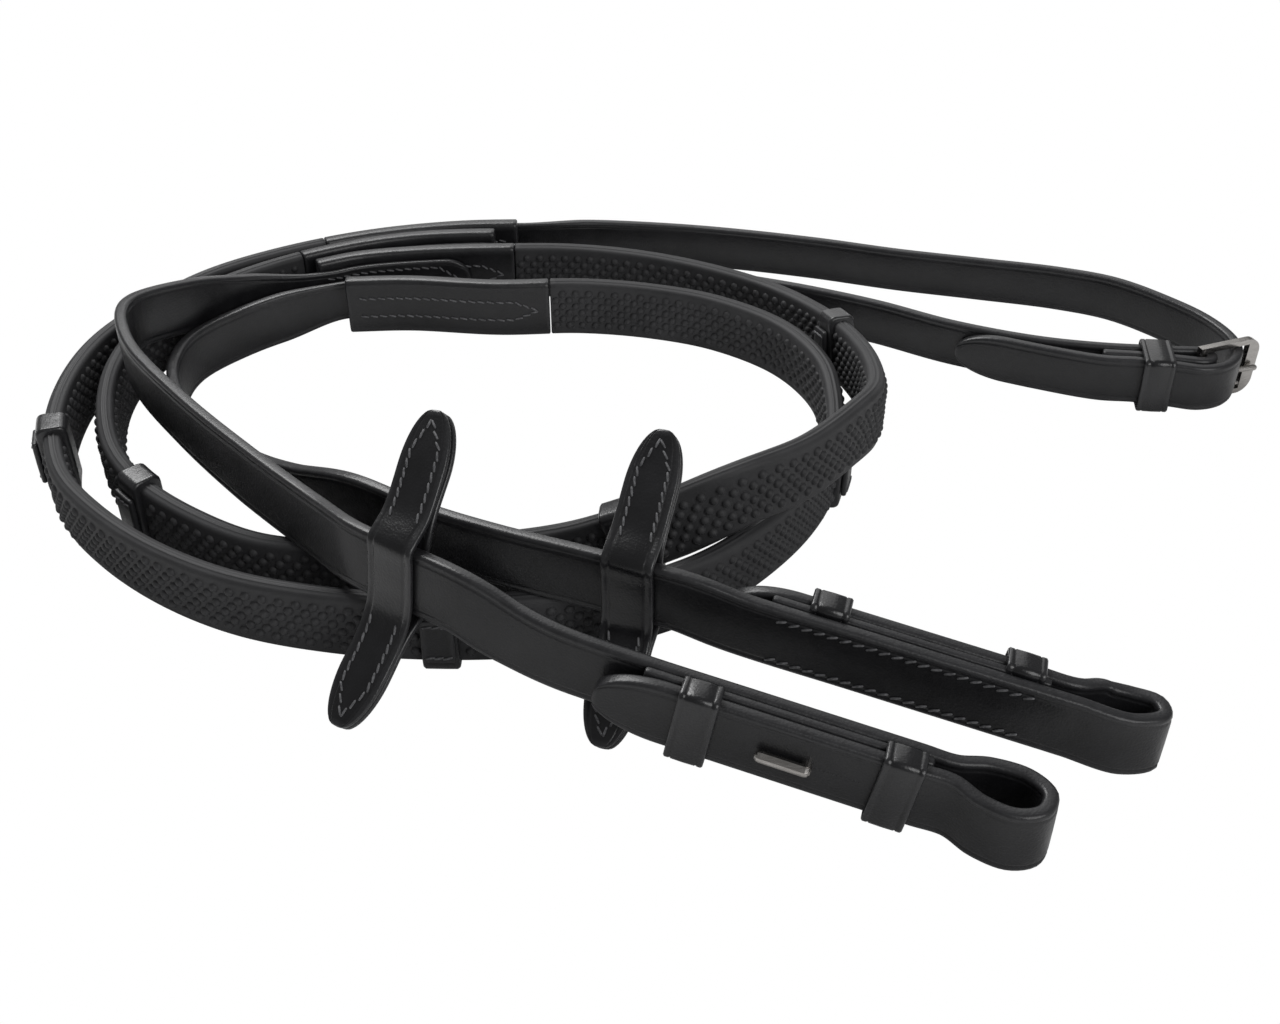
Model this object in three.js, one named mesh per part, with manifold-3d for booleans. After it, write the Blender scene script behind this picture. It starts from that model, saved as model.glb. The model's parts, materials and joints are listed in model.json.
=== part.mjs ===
// Leather riding reins with pimpled rubber grips, laid down loosely coiled.
// Millimetres, +Z up. Two reins run from a bit loop through a rein stop and a rubber grip
// to a hand strap, and the two hand straps are joined by a buckle.
import * as THREE from 'three';
import { mergeVertices } from 'three/addons/utils/BufferGeometryUtils.js';
import Module from 'manifold-3d';

const wasm = await Module();
wasm.setup();

// ---- Driving dimensions ----
const BIT_WIDTH = 18;             // leather between the bit and the grip
const BIT_THICKNESS = 3.6;
const HAND_WIDTH = 16;            // leather between the grip and the buckle
const HAND_THICKNESS = 3.4;
const LEATHER_BEVEL = 0.8;
const GRIP_WIDTH = 20;            // rubber cover, without its pimples
const GRIP_THICKNESS = 5.2;
const GRIP_BEVEL = 1.5;
const GRIP_LENGTH = 597;          // rubber from chape to chape
const CORE_WIDTH = 14;            // webbing inside the cover
const CORE_THICKNESS = 1.2;
const CORE_ROOM = 0.85;           // clearance round the core
const CHAPE_LENGTH = 70;          // leather sleeve at each end of the rubber
const LAP_LENGTH = 54;            // strap end sewn onto a chape
const LAP_SKIVE = 0.6;            // a sewn strap end is thinned to this share
const LAP_WIDTH = 14;
const LINING_THICKNESS = 2;       // layer between the two sides of a billet
const LINING_START = 10;          // from the billet's point
const LINING_LENGTH = 68;
const POINT_LENGTH = 17;          // length of a strap's pointed end
const KEEPER_LENGTH = 9.5;        // along the strap
const KEEPER_THICKNESS = 1.4;
const KEEPER_TUCK = 0.8;          // keeper leg let into the lining
const KEEPER_PLACES = [24, 71.5];  // from the billet's point
const STUD_PLACE = 51;
const STUD_RADIUS = 1.45;
const STUD_HOOK = 10.5;           // length of the hook along the strap
const STUD_PLATE_RADIUS = 4;
const STUD_PLATE_THICKNESS = 0.8;
const SLIT_LENGTH = 13;
const SLIT_WIDTH = 0.9;
const STOP_WIDTH = 13.5;
const STOP_PLY = 1.6;
const STOP_TAB = 31;              // each tab, beyond the rein's edge
const STOP_POINT = 15;
const BAND_LENGTH = 9.5;          // hand stop, along the grip
const BAND_THICKNESS = 1.4;
const TAB_LENGTH = 8.5;
const TAB_HEIGHT = 14;
const TAB_THICKNESS = 1.6;
const BUCKLE_LENGTH = 22;         // from the bar's axis to the outer edge
const BUCKLE_RIM = 4.4;           // width of the outer side
const BUCKLE_RAIL = 1.8;          // height of the top and bottom sides
const BUCKLE_THICKNESS = 2.2;
const BUCKLE_BAR_RADIUS = 1.25;
const BUCKLE_CORNER = 5;
const TONGUE_RADIUS = 1;
const TONGUE_HUB_RADIUS = 2.5;
const TONGUE_HUB_HEIGHT = 2.6;

const GAP = 0.3;                  // clearance between pieces that lie on each other
const BAND_GAP = 0.4;             // between a hand stop's band and the grip
const FLOOR_RISE = 0.05;
const MAX_STEP = 13;              // longest straight piece of a swept strap
const MAX_TURN = THREE.MathUtils.degToRad(13);

// Heights of the straps' middles above the ground
const BIT_LOW = BIT_WIDTH / 2;
const HAND_LOW = HAND_WIDTH / 2 + FLOOR_RISE;
const GRIP_LOW = GRIP_WIDTH / 2 + BAND_GAP + BAND_THICKNESS + FLOOR_RISE;
const OVER_GRIP = GRIP_LOW + GRIP_WIDTH / 2 + GAP;
const BIT_HIGH = OVER_GRIP + BIT_WIDTH / 2;
const STOP_HIGH = BIT_HIGH + 3.4;  // propped by the rein stop's lower tab
const GRIP_HIGH = OVER_GRIP + GRIP_WIDTH / 2 + 0.9;
const BUCKLE_HALF = HAND_WIDTH / 2 + GAP + BUCKLE_RAIL;
const HAND_HIGH = BUCKLE_HALF + FLOOR_RISE;
const BILLET_PITCH = BIT_THICKNESS + LINING_THICKNESS + 2 * GAP;

// ---- Materials ----
const leather = new THREE.MeshStandardMaterial({ color: 0x1b1b1d, roughness: 0.42, metalness: 0 });
const rubber = new THREE.MeshStandardMaterial({ color: 0x2e2e30, roughness: 0.75, metalness: 0 });
const webbing = new THREE.MeshStandardMaterial({ color: 0x222224, roughness: 0.9, metalness: 0 });
const steel = new THREE.MeshStandardMaterial({ color: 0xa09c96, roughness: 0.28, metalness: 1 });

// ---- Routes ----
// A route is a polyline of stations, each with its place, width direction (up) and
// thickness direction (side). Between stations all three are blended straight, so
// pieces that lie on each other stay parallel.
class Route {
  constructor(curve, upAt) {
    const samples = 1200;
    this.stations = [];
    let last = null;
    for (let i = 0; i <= samples; i += 1) {
      const share = i / samples;
      const place = curve.getPoint(share);
      const along = curve.getTangent(share);
      const far = last && place.distanceTo(last.place) >= MAX_STEP;
      const turned = last && along.angleTo(last.along) >= MAX_TURN;
      if (last && !far && !turned && i < samples) continue;
      const s = last ? last.s + place.distanceTo(last.place) : 0;
      const up = upAt(share, along).projectOnPlane(along).normalize();
      const side = new THREE.Vector3().crossVectors(up, along);
      last = { s, place, along, up, side };
      this.stations.push(last);
    }
    this.length = last.s;
  }

  at(s) {
    const clamped = THREE.MathUtils.clamp(s, 0, this.length);
    let i = 1;
    while (i < this.stations.length - 1 && this.stations[i].s < clamped) i += 1;
    const a = this.stations[i - 1];
    const b = this.stations[i];
    const share = (clamped - a.s) / (b.s - a.s);
    return {
      place: a.place.clone().lerp(b.place, share),
      up: a.up.clone().lerp(b.up, share),
      side: a.side.clone().lerp(b.side, share),
      along: b.place.clone().sub(a.place).normalize(),
    };
  }

  point(s, side, up) {
    const f = this.at(s);
    return f.place.addScaledVector(f.side, side).addScaledVector(f.up, up);
  }

  nearest(x, y) {
    let best = 0;
    let bestDistance = Infinity;
    for (let s = 0; s <= this.length; s += 0.5) {
      const p = this.at(s).place;
      const distance = Math.hypot(p.x - x, p.y - y);
      if (distance < bestDistance) {
        best = s;
        bestDistance = distance;
      }
    }
    return best;
  }
}

// Control points are [x, y, height of the middle, lean in degrees to the left of travel].
function layRoute(points) {
  const curve = new THREE.CatmullRomCurve3(points.map(([x, y, z]) => new THREE.Vector3(x, y, z)));
  const leans = points.map((point) => THREE.MathUtils.degToRad(point[3] ?? 0));
  const upAt = (share, along) => {
    const t = share * (points.length - 1);
    const i = Math.min(Math.floor(t), points.length - 2);
    const lean = THREE.MathUtils.lerp(leans[i], leans[i + 1], t - i);
    const left = new THREE.Vector3(-along.y, along.x, 0).normalize();
    return new THREE.Vector3(0, 0, Math.cos(lean)).addScaledVector(left, Math.sin(lean));
  };
  return new Route(curve, upAt);
}

function blendPoints(from, to, shares) {
  return shares.map((share) => from.map((value, i) => THREE.MathUtils.lerp(value, to[i], share)));
}

// Points level with the given ones and moved to the left of the way from heel to toe.
function shiftPoints(points, heel, toe, distance) {
  const length = Math.hypot(toe[0] - heel[0], toe[1] - heel[1]);
  const dx = -((toe[1] - heel[1]) / length) * distance;
  const dy = ((toe[0] - heel[0]) / length) * distance;
  return points.map(([x, y, ...rest]) => [x + dx, y + dy, ...rest]);
}

// ---- Sections and sweeps ----
function bevelledRectangle(shape, thickness, width, bevel) {
  const x = thickness / 2;
  const y = width / 2;
  shape.moveTo(x - bevel, -y);
  shape.lineTo(x, -y + bevel);
  shape.lineTo(x, y - bevel);
  shape.lineTo(x - bevel, y);
  shape.lineTo(-x + bevel, y);
  shape.lineTo(-x, y - bevel);
  shape.lineTo(-x, -y + bevel);
  shape.lineTo(-x + bevel, -y);
  shape.closePath();
  return shape;
}

function strapSection(thickness, width, bevel = LEATHER_BEVEL) {
  return bevelledRectangle(new THREE.Shape(), thickness, width, bevel);
}

function sleeveSection(thickness, width, bevel, holeThickness, holeWidth, holeBevel = 0.3) {
  const section = strapSection(thickness, width, bevel);
  section.holes.push(bevelledRectangle(new THREE.Path(), holeThickness, holeWidth, holeBevel));
  return section;
}

// Sweeps a section (x to the side, y up) along part of a route.
function sweep(route, from, to, section, options = {}) {
  const { side = 0, up = 0, widthAt = () => 1, thicknessAt = () => 1, extra = [] } = options;
  const inner = [...route.stations.map((station) => station.s), ...extra];
  const sorted = inner.filter((s) => s > from + 0.4 && s < to - 0.4).sort((a, b) => a - b);
  const marks = [from, ...sorted.filter((s, i) => i === 0 || s - sorted[i - 1] > 0.4), to];
  const steps = marks.length - 1;
  const geometry = new THREE.ExtrudeGeometry(section, { depth: steps, steps, bevelEnabled: false });
  const position = geometry.attributes.position;
  for (let i = 0; i < position.count; i += 1) {
    const s = marks[Math.round(position.getZ(i))];
    const across = position.getX(i) * thicknessAt(s) + side;
    const p = route.point(s, across, position.getY(i) * widthAt(s) + up);
    position.setXYZ(i, p.x, p.y, p.z);
  }
  return closed(geometry);
}

function closed(geometry) {
  const bare = geometry.toNonIndexed ? geometry.clone() : geometry;
  bare.deleteAttribute('normal');
  bare.deleteAttribute('uv');
  return mergeVertices(bare, 1e-3);
}

function toManifold(geometry) {
  const merged = closed(geometry);
  return new wasm.Manifold(new wasm.Mesh({
    numProp: 3,
    vertProperties: new Float32Array(merged.attributes.position.array),
    triVerts: new Uint32Array(merged.index.array),
  }));
}

function fromManifold(solid) {
  const mesh = solid.getMesh();
  const geometry = new THREE.BufferGeometry();
  const size = mesh.numProp;
  const place = new Float32Array((mesh.vertProperties.length / size) * 3);
  for (let i = 0; i < place.length / 3; i += 1) {
    place[i * 3] = mesh.vertProperties[i * size];
    place[i * 3 + 1] = mesh.vertProperties[i * size + 1];
    place[i * 3 + 2] = mesh.vertProperties[i * size + 2];
  }
  geometry.setAttribute('position', new THREE.BufferAttribute(place, 3));
  geometry.setIndex([...mesh.triVerts]);
  return geometry;
}

function cut(geometry, ...tools) {
  return fromManifold(tools.reduce((solid, tool) => solid.subtract(toManifold(tool)), toManifold(geometry)));
}

function join(geometry, ...others) {
  return fromManifold(others.reduce((solid, other) => solid.add(toManifold(other)), toManifold(geometry)));
}

// A box given by its ranges along a route frame's travel, side and up directions.
function frameBox(route, s, along, side, up) {
  const f = route.at(s);
  const box = new THREE.BoxGeometry(along[1] - along[0], side[1] - side[0], up[1] - up[0]);
  box.translate((along[0] + along[1]) / 2, (side[0] + side[1]) / 2, (up[0] + up[1]) / 2);
  box.applyMatrix4(new THREE.Matrix4().makeBasis(f.along, f.side.normalize(), f.up.normalize()).setPosition(f.place));
  return box;
}

function rodBetween(a, b, radius, rounded = false) {
  const length = a.distanceTo(b);
  const rod = rounded
    ? new THREE.CapsuleGeometry(radius, length, 3, 12)
    : new THREE.CylinderGeometry(radius, radius, length, 16);
  const turn = new THREE.Quaternion().setFromUnitVectors(
    new THREE.Vector3(0, 1, 0), b.clone().sub(a).normalize());
  rod.applyQuaternion(turn);
  const middle = a.clone().lerp(b, 0.5);
  rod.translate(middle.x, middle.y, middle.z);
  return rod;
}

// Share of the full width at a distance from a pointed end.
function pointShare(distance, length, blunt = 0.12) {
  if (distance >= length) return 1;
  const t = Math.max(distance, 0) / length;
  return blunt + (1 - blunt) * Math.sqrt(1 - (1 - t) ** 2);
}

function pointMarks(end, direction, length) {
  return [0.03, 0.1, 0.2, 0.34, 0.5, 0.7, 1].map((share) => end + direction * share * length);
}

// ---- The group ----
const reins = new THREE.Group();

function add(name, geometry, material) {
  const mesh = new THREE.Mesh(geometry, material);
  mesh.name = name;
  reins.add(mesh);
}

// ---- Grips: rubber cover, webbing core, chapes and hand stops ----
function addGrip(name, route, stopPlaces, tabSides) {
  const rubberStart = CHAPE_LENGTH + GAP;
  const rubberEnd = rubberStart + GRIP_LENGTH;
  const hole = [CORE_THICKNESS + 2 * CORE_ROOM, CORE_WIDTH + 2 * CORE_ROOM];
  const sleeve = sleeveSection(GRIP_THICKNESS, GRIP_WIDTH, GRIP_BEVEL, ...hole);
  add(`${name}_bit_chape`, sweep(route, 0, CHAPE_LENGTH, sleeve), leather);
  add(`${name}_rubber_grip`, sweep(route, rubberStart, rubberEnd, sleeve), rubber);
  add(`${name}_hand_chape`, sweep(route, rubberEnd + GAP, gripEnd(), sleeve), leather);
  const core = strapSection(CORE_THICKNESS, CORE_WIDTH, 0.2);
  add(`${name}_grip_core`, sweep(route, 2, gripEnd() - 2, core), webbing);
  stopPlaces.forEach(([x, y], i) => addHandStop(`${name}_hand_stop_${i + 1}`, route, route.nearest(x, y), tabSides[i]));
}

function gripEnd() {
  return 2 * (CHAPE_LENGTH + GAP) + GRIP_LENGTH;
}

function addHandStop(name, route, middle, tabSide) {
  const innerThickness = GRIP_THICKNESS + 2 * BAND_GAP;
  const innerWidth = GRIP_WIDTH + 2 * BAND_GAP;
  const band = sleeveSection(
    innerThickness + 2 * BAND_THICKNESS, innerWidth + 2 * BAND_THICKNESS, GRIP_BEVEL + 0.6,
    innerThickness, innerWidth, GRIP_BEVEL);
  add(`${name}_band`, sweep(route, middle - BAND_LENGTH / 2, middle + BAND_LENGTH / 2, band), leather);
  const tabPlace = innerThickness / 2 + BAND_THICKNESS + GAP + TAB_THICKNESS / 2;
  const tab = sweep(route, middle - TAB_LENGTH / 2, middle + TAB_LENGTH / 2,
    strapSection(TAB_THICKNESS, TAB_HEIGHT, 0.5), { side: tabSide * tabPlace });
  add(`${name}_tab`, tab, leather);
}

// Where the sewn end of a strap lies on a chape, as control points of the strap's route.
function lapPoints(grip, places, side) {
  return places.map((s) => {
    const p = grip.point(s, side * chapeLapPlace(), 0);
    return [p.x, p.y, p.z];
  });
}

function chapeLapPlace() {
  return GRIP_THICKNESS / 2 + GAP + 0.25 + (BIT_THICKNESS * LAP_SKIVE) / 2;
}

// Full size until the strap meets the chape, then narrow and thin to the end.
function lapShare(distance, small) {
  return THREE.MathUtils.lerp(small, 1, THREE.MathUtils.smoothstep(distance, LAP_LENGTH + 2, LAP_LENGTH + 26));
}

// ---- Bit ends: strap round the bit loop, lining, keepers, hook stud ----
// loopSide is +1 where the loop turns left and the billet's point lies on the strap's left.
function addBitEnd(name, route, loopSide, heelPlace) {
  const length = route.length;
  const widthAt = (s) => pointShare(s, POINT_LENGTH)
    * lapShare(length - s, LAP_WIDTH / BIT_WIDTH) * pointShare(length - s, POINT_LENGTH / 2);
  const thicknessAt = (s) => lapShare(length - s, LAP_SKIVE);
  const extra = [...pointMarks(0, 1, POINT_LENGTH), ...pointMarks(length, -1, POINT_LENGTH / 2)];
  const strap = sweep(route, 0, length, strapSection(BIT_THICKNESS, BIT_WIDTH), { widthAt, thicknessAt, extra });

  // Distances along the back of the billet count from the place that faces the point.
  const toBack = (distance) => heelPlace - distance;
  const liningSide = loopSide * (BIT_THICKNESS / 2 + GAP + LINING_THICKNESS / 2);
  const liningFrom = toBack(LINING_START + LINING_LENGTH);
  const liningTo = toBack(LINING_START);
  const lining = sweep(route, liningFrom, liningTo, strapSection(LINING_THICKNESS, BIT_WIDTH, 0.4), { side: liningSide });

  const studAt = toBack(STUD_PLACE);
  const layer = (low, high) => (loopSide > 0 ? [low, high] : [-high, -low]);
  const liningBack = BIT_THICKNESS / 2 + GAP;
  const lapFace = BILLET_PITCH + BIT_THICKNESS / 2;
  const plateTop = liningBack + STUD_PLATE_THICKNESS;
  const studPoint = (side, along) => {
    const f = route.at(studAt);
    return f.place.clone().addScaledVector(f.side, loopSide * side).addScaledVector(f.along, along);
  };
  const hookHeight = lapFace + GAP + STUD_RADIUS;
  const plate = rodBetween(studPoint(liningBack, 0), studPoint(plateTop, 0), STUD_PLATE_RADIUS);
  const post = rodBetween(studPoint(liningBack + 0.1, 0), studPoint(hookHeight, 0), STUD_RADIUS);
  const hook = rodBetween(studPoint(hookHeight, 0), studPoint(hookHeight, STUD_HOOK), STUD_RADIUS, true);
  add(`${name}_hook_stud`, join(plate, post, hook), steel);

  const studHole = rodBetween(studPoint(liningBack - 1, 0), studPoint(lapFace + 2, 0), STUD_RADIUS + GAP);
  const lapHole = rodBetween(studPoint(lapFace - BIT_THICKNESS - GAP / 2, 0), studPoint(lapFace + 2, 0), STUD_RADIUS + 0.6);
  const plateSeat = rodBetween(studPoint(liningBack - 1, 0), studPoint(plateTop + GAP, 0), STUD_PLATE_RADIUS + GAP);
  const slit = frameBox(route, studAt, [-SLIT_LENGTH, 0],
    layer(lapFace - BIT_THICKNESS - GAP / 2, lapFace + 2), [-SLIT_WIDTH / 2, SLIT_WIDTH / 2]);
  add(`${name}_bit_strap`, cut(strap, lapHole, slit), leather);

  const grooves = [];
  KEEPER_PLACES.forEach((place, i) => {
    const s = toBack(place);
    const half = KEEPER_LENGTH / 2;
    const inner = BIT_WIDTH / 2 + 0.35;
    const outer = inner + KEEPER_THICKNESS;
    const block = frameBox(route, s, [-half, half], layer(liningBack, lapFace + 0.35 + KEEPER_THICKNESS), [-outer, outer]);
    const room = frameBox(route, s, [-half - 1, half + 1], layer(liningBack + KEEPER_TUCK, lapFace + 0.35), [-inner, inner]);
    add(`${name}_billet_keeper_${i + 1}`, cut(block, room), leather);
    grooves.push(frameBox(route, s, [-half - GAP, half + GAP],
      layer(liningBack - 1, liningBack + KEEPER_TUCK + GAP), [-outer, outer]));
  });
  add(`${name}_billet_lining`, cut(lining, studHole, plateSeat, ...grooves), leather);
}

// ---- Rein stops: two leather plies sewn together above and below the rein ----
// The upper tab leans away from the front and the lower tab leans towards it.
// The tabs also sway along the rein, upper and lower by their own amounts.
function addReinStop(name, route, place, tabAngle, sways) {
  const f = route.at(place);
  const slope = THREE.MathUtils.degToRad(tabAngle);
  const half = BIT_WIDTH / 2;
  const reach = BIT_THICKNESS / 2 + 0.4 + STOP_PLY / 2;
  const apart = (STOP_PLY + GAP) / 2;
  // Each tab's middle plane starts just beyond the rein's edge.
  const tab = (distance, layer) => [
    half + 1.6 + distance * Math.cos(slope) + layer * apart * Math.sin(slope),
    -1.2 - distance * Math.sin(slope) + layer * apart * Math.cos(slope),
  ];
  const mirror = ([a, b]) => [-a, -b];
  const behind = [
    tab(STOP_TAB, -1), tab(STOP_TAB * 0.6, -1), tab(STOP_TAB * 0.25, -1),
    [half + 1, -reach - 0.9], [half * 0.55, -reach], [0, -reach], [-half * 0.55, -reach],
    [-half - 0.5, -reach - 0.1], [-half - 2.3, -1.2],
    mirror(tab(STOP_TAB * 0.16, 1)), mirror(tab(STOP_TAB * 0.5, 1)), mirror(tab(STOP_TAB, 1)),
  ];
  const sway = (a) => (a > 0 ? sways[0] : sways[1]) * Math.max(0, (Math.abs(a) - half) / STOP_TAB) ** 1.5;
  const place3 = ([a, b]) => f.place.clone()
    .addScaledVector(f.up, a).addScaledVector(f.side, b).addScaledVector(f.along, sway(a));
  const plies = { back: behind, front: behind.map(mirror).reverse() };
  Object.entries(plies).forEach(([ply, outline]) => {
    const curve = new THREE.CatmullRomCurve3(outline.map(place3));
    const way = new Route(curve, () => f.along.clone());
    const widthAt = (s) => pointShare(Math.min(s, way.length - s), STOP_POINT);
    const extra = [...pointMarks(0, 1, STOP_POINT), ...pointMarks(way.length, -1, STOP_POINT)];
    add(`${name}_rein_stop_${ply}`, sweep(way, 0, way.length, strapSection(STOP_PLY, STOP_WIDTH, 0.4), { widthAt, extra }), leather);
  });
}

// ---- Left rein: front of the coil ----
const leftHeel = [71, -115, 10.4];
const leftToe = [-9, -93, 24.8];
const leftBack = blendPoints(leftHeel, leftToe, [0, 0.1, 0.25, 0.55, 0.87]);
const leftLap = shiftPoints(blendPoints(leftHeel, leftToe, [1, 0.6, 0.25, 0.1, 0]), leftHeel, leftToe, BILLET_PITCH);
const leftGrip = layRoute([
  [-113, 119, GRIP_LOW], [-100, 125, GRIP_LOW], [-80, 129, GRIP_LOW], [-53, 131, GRIP_LOW],
  [-25, 131, GRIP_LOW], [0, 126, GRIP_LOW], [24, 116, GRIP_LOW], [45, 102, 12], [58, 84, 14],
  [66, 59, 19], [69, 35, 24], [67, 12, 29], [59, -5, GRIP_HIGH], [44, -22, GRIP_HIGH],
  [26, -34, GRIP_HIGH], [5, -36, 23], [-14, -35, 15], [-33, -36, GRIP_LOW],
  [-60, -39, GRIP_LOW], [-84, -40, GRIP_LOW], [-102, -37, GRIP_LOW], [-122, -26, GRIP_LOW],
  [-140, -11, GRIP_LOW], [-152, 5, GRIP_LOW], [-161, 28, GRIP_LOW], [-165, 52, GRIP_LOW],
  [-163, 72, GRIP_LOW], [-154, 93, GRIP_LOW], [-136, 113, GRIP_LOW], [-111, 130, GRIP_LOW],
  [-84, 140, GRIP_LOW], [-53, 143, GRIP_LOW], [-20, 141, GRIP_LOW],
]);
const leftBit = layRoute([
  ...leftLap,
  [75, -126, 9.4], [82, -129.5, BIT_LOW], [88, -128.5, BIT_LOW], [90.5, -123.5, BIT_LOW],
  [87, -118, BIT_LOW], [79, -115, 9.5], ...leftBack,
  [-20, -89.5, 27, -3], [-32, -84, 30, -7], [-43, -79, STOP_HIGH, -8], [-57, -69.5, STOP_HIGH, -8],
  [-71, -60, STOP_HIGH, -8], [-83, -46, BIT_HIGH + 0.8, -8], [-107, -21, BIT_HIGH, -8],
  [-130, 5, BIT_HIGH, -4], [-151, 33, BIT_HIGH], [-159, 52, BIT_HIGH], [-159, 62, BIT_HIGH - 1],
  [-149, 83, 24], [-136, 102, 16],
  ...lapPoints(leftGrip, [4, 12, 20, 28, 36, 45, LAP_LENGTH], -1),
]);

// ---- Right rein: back of the coil ----
const rightHeel = [101, -98.5, 12.8];
const rightToe = [20, -77, 27.6];
const rightBack = blendPoints(rightHeel, rightToe, [0, 0.1, 0.25, 0.6, 0.95]);
const rightLap = shiftPoints(blendPoints(rightHeel, rightToe, [1, 0.6, 0.25, 0.1, 0]), rightHeel, rightToe, -BILLET_PITCH);
const rightGrip = layRoute([
  [-101, 106, GRIP_LOW], [-80, 107, GRIP_LOW], [-49, 104, GRIP_LOW], [-20, 105, GRIP_LOW],
  [5, 101, GRIP_LOW], [26, 93, GRIP_LOW], [46, 77, GRIP_LOW], [57, 56, GRIP_LOW],
  [59, 34, GRIP_LOW], [56, 10, GRIP_LOW], [47, -11, GRIP_LOW], [32, -31, GRIP_LOW],
  [14, -47, GRIP_LOW], [-9, -57.5, GRIP_LOW], [-32, -61.5, GRIP_LOW], [-56, -62, GRIP_LOW],
  [-80, -59.5, GRIP_LOW], [-105, -53, GRIP_LOW], [-128, -41, GRIP_LOW], [-149, -24, GRIP_LOW],
  [-164, -6, GRIP_LOW], [-174, 20, GRIP_LOW], [-177, 47, GRIP_LOW], [-174, 69, GRIP_LOW],
  [-164, 91, GRIP_LOW], [-149, 112, GRIP_LOW], [-127, 128.5, GRIP_LOW], [-98, 142, GRIP_LOW],
  [-68, 149, GRIP_LOW], [-42, 150.5, GRIP_LOW], [-20, 150.5, GRIP_LOW],
]);
const rightBit = layRoute([
  ...rightLap,
  [110, -90.5, 10], [117, -91.5, BIT_LOW], [122.5, -94.5, BIT_LOW], [122.5, -99, BIT_LOW],
  [114, -101.5, 10], ...rightBack,
  [9.5, -74.6, BIT_HIGH], [-2, -70, BIT_HIGH], [-14, -65.2, BIT_HIGH], [-35, -57, BIT_HIGH],
  [-54, -48, BIT_HIGH], [-74, -35.5, BIT_HIGH], [-92, -22, 24.5], [-107, -9, 20], [-122, 9, 16],
  [-134, 26, 13], [-144, 43, 10], [-149, 60, BIT_LOW], [-147, 76, BIT_LOW], [-134, 93, BIT_LOW],
  [-118, 104, 10], [-106, 109.5, 11],
  ...lapPoints(rightGrip, [4, 12, 20, 28, 36, 45, LAP_LENGTH], 1),
]);

addGrip('left', leftGrip, [[63.4, 68], [-2, -36], [-140, -11]], [-1, 1, 1]);
addGrip('right', rightGrip, [[56, 9], [-51, -61.9], [-172.6, 15]], [1, 1, 1]);
addBitEnd('left', leftBit, 1, leftBit.nearest(leftToe[0], leftToe[1]));
addBitEnd('right', rightBit, -1, rightBit.nearest(rightToe[0], rightToe[1]));
addReinStop('left', leftBit, leftBit.nearest(-58.5, -68.3), 42, [8, 0]);
addReinStop('right', rightBit, rightBit.nearest(-2, -70), 51.5, [2, -4]);

// ---- Buckle end ----
const barPlace = new THREE.Vector3(180.2, 62.9, HAND_HIGH);
const frameAngle = THREE.MathUtils.degToRad(20);
const frameWay = new THREE.Vector3(Math.cos(frameAngle), Math.sin(frameAngle), 0);
const foldRadius = BUCKLE_BAR_RADIUS + GAP + 0.1 + HAND_THICKNESS / 2;

function foldPoint(degrees) {
  const angle = THREE.MathUtils.degToRad(degrees);
  return [barPlace.x + foldRadius * Math.cos(angle), barPlace.y + foldRadius * Math.sin(angle), HAND_HIGH];
}

const handStart = gripEnd() - LAP_LENGTH;
const handLapPlaces = [0, 9, 18, 26, 34, 42, 50].map((distance) => handStart + distance);
const leftHand = layRoute([
  ...lapPoints(leftGrip, handLapPlaces, -1),
  [-30, 137.5, 11], [-10, 135, 10], [10, 130, 8.5], [30, 122, HAND_LOW], [57, 112, HAND_LOW],
  [81, 101, HAND_LOW], [105, 87, HAND_LOW], [130, 76, 8.6], [149, 70.7, 9.2], [165, 67.5, 10],
  [174, 66.5, HAND_HIGH],
  foldPoint(97), foldPoint(50), foldPoint(0), foldPoint(-50), foldPoint(-97),
  [174, 60.7, HAND_HIGH], [165, 63, 10], [150, 66.3, 9.2],
]);
const rightHand = layRoute([
  ...lapPoints(rightGrip, handLapPlaces, 1),
  [-30, 156.5, 11], [-14, 158.5, 10], [15, 158.5, 8.4], [37, 155, HAND_LOW], [65, 148, HAND_LOW],
  [94, 139, HAND_LOW], [122, 132, HAND_LOW], [149, 123, 9], [166, 113, HAND_HIGH],
  [181, 98.5, HAND_HIGH], [189, 87.5, HAND_HIGH], [193, 77, HAND_HIGH], [193.5, 69, HAND_HIGH],
  [191, 62, HAND_HIGH], [186, 57, HAND_HIGH], [179, 55, HAND_HIGH], [171, 57, HAND_HIGH],
  [160, 60, 10], [149, 62.6, 9.2], [130, 70.6, 8.6], [106, 82.5, HAND_LOW],
]);

const handSection = strapSection(HAND_THICKNESS, HAND_WIDTH);
const handExtra = pointMarks(0, 1, POINT_LENGTH / 2);
const lapWidthAt = (s) => lapShare(s, LAP_WIDTH / HAND_WIDTH) * pointShare(s, POINT_LENGTH / 2);
const lapThicknessAt = (s) => lapShare(s, LAP_SKIVE);
const leftHandStrap = sweep(leftHand, 0, leftHand.length, handSection,
  { widthAt: lapWidthAt, thicknessAt: lapThicknessAt, extra: handExtra });
const tongueSlot = new THREE.BoxGeometry(11.5, 11.4, TONGUE_HUB_HEIGHT + 2 * GAP + 0.4);
tongueSlot.translate(barPlace.x + 1.2, barPlace.y, barPlace.z);
add('left_hand_strap', cut(leftHandStrap, tongueSlot), leather);

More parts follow.
